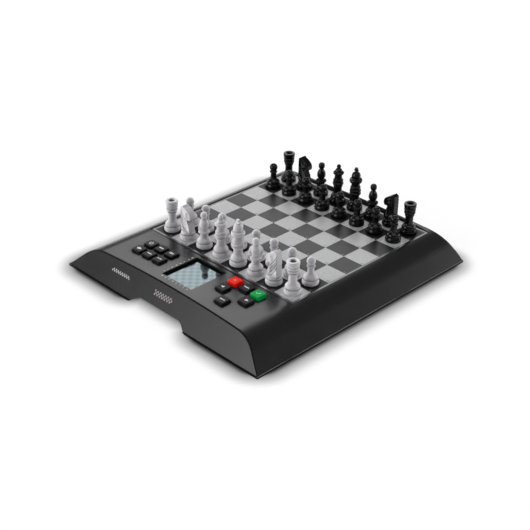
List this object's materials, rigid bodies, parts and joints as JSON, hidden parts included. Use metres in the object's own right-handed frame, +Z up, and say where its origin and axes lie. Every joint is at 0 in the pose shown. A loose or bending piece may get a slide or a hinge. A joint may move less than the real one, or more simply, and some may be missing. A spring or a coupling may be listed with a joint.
{
  "type": "electronic chess computer",
  "caption": "Arched electronic chess computer with a pressure-sensor board, sprung keys, a sunken display, a finger grip and a set of turned chess pieces that lift off.",
  "frame": {"origin": "on the table, under the middle of the housing's footprint", "axes": "+Z up, +Y from the control panel to the far side of the board, +X from the a-file to the h-file"},
  "size_m": [0.2796, 0.304, 0.0761],
  "materials": {
    "housing_grey": "satin moulded dark grey plastic with a fine spark texture",
    "base_black": "black moulded plastic with a fine texture",
    "board_print": "printed film, grainy silver and grey squares",
    "membrane_film": "translucent amber contact film",
    "display": "glossy reflective liquid crystal panel",
    "circuit_board": "green solder mask",
    "contact_rubber": "grey silicone",
    "socket_black": "smooth black plastic",
    "key_black": "satin black plastic with a white printed mark",
    "key_red": "satin red plastic",
    "key_green": "satin green plastic",
    "cell_wrap": "shrink-wrapped steel can",
    "foot_rubber": "matt black rubber",
    "white_piece": "satin off-white moulded plastic",
    "black_piece": "polished black moulded plastic"
  },
  "bodies": {
    "housing": {"top_housing": "housing_grey", "bottom_housing": "base_black", "playing_board": "board_print", "sensor_membrane": "membrane_film", "lcd_panel": "display", "main_circuit_board": "circuit_board", "key_contact_mat": "contact_rubber", "power_socket": "socket_black", "battery_1": "cell_wrap", "battery_2": "cell_wrap", "battery_3": "cell_wrap", "rubber_foot_front_left": "foot_rubber", "rubber_foot_front_right": "foot_rubber", "rubber_foot_back_left": "foot_rubber", "rubber_foot_back_right": "foot_rubber"},
    "battery_cover": {"battery_cover": "base_black"},
    "key_power": {"key_power": "key_black"},
    "key_function_1": {"key_function_1": "key_black"},
    "key_function_2": {"key_function_2": "key_black"},
    "key_play": {"key_play": "key_black"},
    "key_function_3": {"key_function_3": "key_black"},
    "key_function_4": {"key_function_4": "key_black"},
    "key_red": {"key_red": "key_red"},
    "key_up": {"key_up": "key_black"},
    "key_green": {"key_green": "key_green"},
    "key_left": {"key_left": "key_black"},
    "key_right": {"key_right": "key_black"},
    "key_down": {"key_down": "key_black"},
    "white_rook_a": {"white_rook_a": "white_piece"},
    "white_knight_b": {"white_knight_b": "white_piece"},
    "white_bishop_c": {"white_bishop_c": "white_piece"},
    "white_queen": {"white_queen": "white_piece"},
    "white_king": {"white_king": "white_piece"},
    "white_bishop_f": {"white_bishop_f": "white_piece"},
    "white_knight_g": {"white_knight_g": "white_piece"},
    "white_rook_h": {"white_rook_h": "white_piece"},
    "white_pawn_a": {"white_pawn_a": "white_piece"},
    "white_pawn_b": {"white_pawn_b": "white_piece"},
    "white_pawn_c": {"white_pawn_c": "white_piece"},
    "white_pawn_d": {"white_pawn_d": "white_piece"},
    "white_pawn_e": {"white_pawn_e": "white_piece"},
    "white_pawn_f": {"white_pawn_f": "white_piece"},
    "white_pawn_g": {"white_pawn_g": "white_piece"},
    "white_pawn_h": {"white_pawn_h": "white_piece"},
    "black_rook_a": {"black_rook_a": "black_piece"},
    "black_knight_b": {"black_knight_b": "black_piece"},
    "black_bishop_c": {"black_bishop_c": "black_piece"},
    "black_queen": {"black_queen": "black_piece"},
    "black_king": {"black_king": "black_piece"},
    "black_bishop_f": {"black_bishop_f": "black_piece"},
    "black_knight_g": {"black_knight_g": "black_piece"},
    "black_rook_h": {"black_rook_h": "black_piece"},
    "black_pawn_a": {"black_pawn_a": "black_piece"},
    "black_pawn_b": {"black_pawn_b": "black_piece"},
    "black_pawn_c": {"black_pawn_c": "black_piece"},
    "black_pawn_d": {"black_pawn_d": "black_piece"},
    "black_pawn_e": {"black_pawn_e": "black_piece"},
    "black_pawn_f": {"black_pawn_f": "black_piece"},
    "black_pawn_g": {"black_pawn_g": "black_piece"},
    "black_pawn_h": {"black_pawn_h": "black_piece"}
  },
  "joints": [
    {"name": "battery_cover_release", "type": "slide", "parent": "housing", "child": "battery_cover", "axis": [0, 0, -1], "range_m": [0, 0.02]},
    {"name": "key_power_press", "type": "slide", "parent": "housing", "child": "key_power", "axis": [0, 0, -1], "range_m": [0, 0.0012], "stiffness_N_per_m": 400, "springref_m": -0.0005},
    {"name": "key_function_1_press", "type": "slide", "parent": "housing", "child": "key_function_1", "axis": [0, 0, -1], "range_m": [0, 0.0012], "stiffness_N_per_m": 400, "springref_m": -0.0005},
    {"name": "key_function_2_press", "type": "slide", "parent": "housing", "child": "key_function_2", "axis": [0, 0, -1], "range_m": [0, 0.0012], "stiffness_N_per_m": 400, "springref_m": -0.0005},
    {"name": "key_play_press", "type": "slide", "parent": "housing", "child": "key_play", "axis": [0, 0, -1], "range_m": [0, 0.0012], "stiffness_N_per_m": 400, "springref_m": -0.0005},
    {"name": "key_function_3_press", "type": "slide", "parent": "housing", "child": "key_function_3", "axis": [0, 0, -1], "range_m": [0, 0.0012], "stiffness_N_per_m": 400, "springref_m": -0.0005},
    {"name": "key_function_4_press", "type": "slide", "parent": "housing", "child": "key_function_4", "axis": [0, 0, -1], "range_m": [0, 0.0012], "stiffness_N_per_m": 400, "springref_m": -0.0005},
    {"name": "key_red_press", "type": "slide", "parent": "housing", "child": "key_red", "axis": [0, 0, -1], "range_m": [0, 0.0012], "stiffness_N_per_m": 400, "springref_m": -0.0005},
    {"name": "key_up_press", "type": "slide", "parent": "housing", "child": "key_up", "axis": [0, 0, -1], "range_m": [0, 0.0012], "stiffness_N_per_m": 400, "springref_m": -0.0005},
    {"name": "key_green_press", "type": "slide", "parent": "housing", "child": "key_green", "axis": [0, 0, -1], "range_m": [0, 0.0012], "stiffness_N_per_m": 400, "springref_m": -0.0005},
    {"name": "key_left_press", "type": "slide", "parent": "housing", "child": "key_left", "axis": [0, 0, -1], "range_m": [0, 0.0012], "stiffness_N_per_m": 400, "springref_m": -0.0005},
    {"name": "key_right_press", "type": "slide", "parent": "housing", "child": "key_right", "axis": [0, 0, -1], "range_m": [0, 0.0012], "stiffness_N_per_m": 400, "springref_m": -0.0005},
    {"name": "key_down_press", "type": "slide", "parent": "housing", "child": "key_down", "axis": [0, 0, -1], "range_m": [0, 0.0012], "stiffness_N_per_m": 400, "springref_m": -0.0005},
    {"name": "white_rook_a_lift", "type": "slide", "parent": "housing", "child": "white_rook_a", "axis": [0, 0, 1], "range_m": [0, 0.07]},
    {"name": "white_knight_b_lift", "type": "slide", "parent": "housing", "child": "white_knight_b", "axis": [0, 0, 1], "range_m": [0, 0.07]},
    {"name": "white_bishop_c_lift", "type": "slide", "parent": "housing", "child": "white_bishop_c", "axis": [0, 0, 1], "range_m": [0, 0.07]},
    {"name": "white_queen_lift", "type": "slide", "parent": "housing", "child": "white_queen", "axis": [0, 0, 1], "range_m": [0, 0.07]},
    {"name": "white_king_lift", "type": "slide", "parent": "housing", "child": "white_king", "axis": [0, 0, 1], "range_m": [0, 0.07]},
    {"name": "white_bishop_f_lift", "type": "slide", "parent": "housing", "child": "white_bishop_f", "axis": [0, 0, 1], "range_m": [0, 0.07]},
    {"name": "white_knight_g_lift", "type": "slide", "parent": "housing", "child": "white_knight_g", "axis": [0, 0, 1], "range_m": [0, 0.07]},
    {"name": "white_rook_h_lift", "type": "slide", "parent": "housing", "child": "white_rook_h", "axis": [0, 0, 1], "range_m": [0, 0.07]},
    {"name": "white_pawn_a_lift", "type": "slide", "parent": "housing", "child": "white_pawn_a", "axis": [0, 0, 1], "range_m": [0, 0.07]},
    {"name": "white_pawn_b_lift", "type": "slide", "parent": "housing", "child": "white_pawn_b", "axis": [0, 0, 1], "range_m": [0, 0.07]},
    {"name": "white_pawn_c_lift", "type": "slide", "parent": "housing", "child": "white_pawn_c", "axis": [0, 0, 1], "range_m": [0, 0.07]},
    {"name": "white_pawn_d_lift", "type": "slide", "parent": "housing", "child": "white_pawn_d", "axis": [0, 0, 1], "range_m": [0, 0.07]},
    {"name": "white_pawn_e_lift", "type": "slide", "parent": "housing", "child": "white_pawn_e", "axis": [0, 0, 1], "range_m": [0, 0.07]},
    {"name": "white_pawn_f_lift", "type": "slide", "parent": "housing", "child": "white_pawn_f", "axis": [0, 0, 1], "range_m": [0, 0.07]},
    {"name": "white_pawn_g_lift", "type": "slide", "parent": "housing", "child": "white_pawn_g", "axis": [0, 0, 1], "range_m": [0, 0.07]},
    {"name": "white_pawn_h_lift", "type": "slide", "parent": "housing", "child": "white_pawn_h", "axis": [0, 0, 1], "range_m": [0, 0.07]},
    {"name": "black_rook_a_lift", "type": "slide", "parent": "housing", "child": "black_rook_a", "axis": [0, 0, 1], "range_m": [0, 0.07]},
    {"name": "black_knight_b_lift", "type": "slide", "parent": "housing", "child": "black_knight_b", "axis": [0, 0, 1], "range_m": [0, 0.07]},
    {"name": "black_bishop_c_lift", "type": "slide", "parent": "housing", "child": "black_bishop_c", "axis": [0, 0, 1], "range_m": [0, 0.07]},
    {"name": "black_queen_lift", "type": "slide", "parent": "housing", "child": "black_queen", "axis": [0, 0, 1], "range_m": [0, 0.07]},
    {"name": "black_king_lift", "type": "slide", "parent": "housing", "child": "black_king", "axis": [0, 0, 1], "range_m": [0, 0.07]},
    {"name": "black_bishop_f_lift", "type": "slide", "parent": "housing", "child": "black_bishop_f", "axis": [0, 0, 1], "range_m": [0, 0.07]},
    {"name": "black_knight_g_lift", "type": "slide", "parent": "housing", "child": "black_knight_g", "axis": [0, 0, 1], "range_m": [0, 0.07]},
    {"name": "black_rook_h_lift", "type": "slide", "parent": "housing", "child": "black_rook_h", "axis": [0, 0, 1], "range_m": [0, 0.07]},
    {"name": "black_pawn_a_lift", "type": "slide", "parent": "housing", "child": "black_pawn_a", "axis": [0, 0, 1], "range_m": [0, 0.07]},
    {"name": "black_pawn_b_lift", "type": "slide", "parent": "housing", "child": "black_pawn_b", "axis": [0, 0, 1], "range_m": [0, 0.07]},
    {"name": "black_pawn_c_lift", "type": "slide", "parent": "housing", "child": "black_pawn_c", "axis": [0, 0, 1], "range_m": [0, 0.07]},
    {"name": "black_pawn_d_lift", "type": "slide", "parent": "housing", "child": "black_pawn_d", "axis": [0, 0, 1], "range_m": [0, 0.07]},
    {"name": "black_pawn_e_lift", "type": "slide", "parent": "housing", "child": "black_pawn_e", "axis": [0, 0, 1], "range_m": [0, 0.07]},
    {"name": "black_pawn_f_lift", "type": "slide", "parent": "housing", "child": "black_pawn_f", "axis": [0, 0, 1], "range_m": [0, 0.07]},
    {"name": "black_pawn_g_lift", "type": "slide", "parent": "housing", "child": "black_pawn_g", "axis": [0, 0, 1], "range_m": [0, 0.07]},
    {"name": "black_pawn_h_lift", "type": "slide", "parent": "housing", "child": "black_pawn_h", "axis": [0, 0, 1], "range_m": [0, 0.07]}
  ]
}
